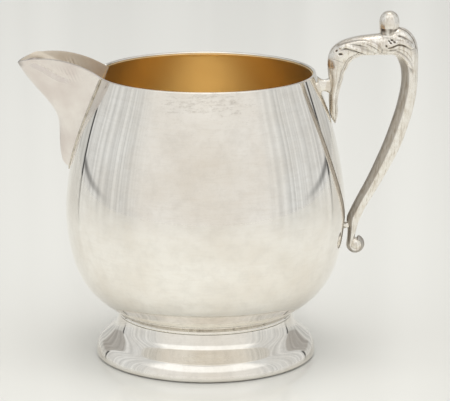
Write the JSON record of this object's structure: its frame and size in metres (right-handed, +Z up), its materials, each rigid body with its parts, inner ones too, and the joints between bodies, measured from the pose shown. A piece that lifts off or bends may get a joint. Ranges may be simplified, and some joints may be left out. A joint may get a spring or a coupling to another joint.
{
  "type": "footed creamer jug",
  "caption": "Footed cream jug of silver plate with a gilt inside, a soldered leaf-shaped spout and a cast scroll handle with a thumb knob.",
  "frame": {"origin": "on the table, under the axis of the bowl, at the centre of the foot's standing edge", "axes": "+Z up along the bowl's axis, +X towards the handle, -X towards the spout, +Y to the left of someone who looks along +X"},
  "size_m": [0.1218, 0.0862, 0.1072],
  "materials": {
    "plate": "polished silver plate",
    "gilt": "satin gold wash",
    "casting": "polished silver plate, darker in the folds",
    "solder": "plated solder, slightly rough"
  },
  "bodies": {
    "root": {"body_shell": "plate", "gilt_lining": "gilt", "foot_shell": "plate", "foot_solder": "solder", "spout": "plate", "spout_solder": "solder", "handle": "casting", "thumb_knob": "casting", "upper_lug": "plate", "lower_lug": "plate"}
  },
  "joints": []
}
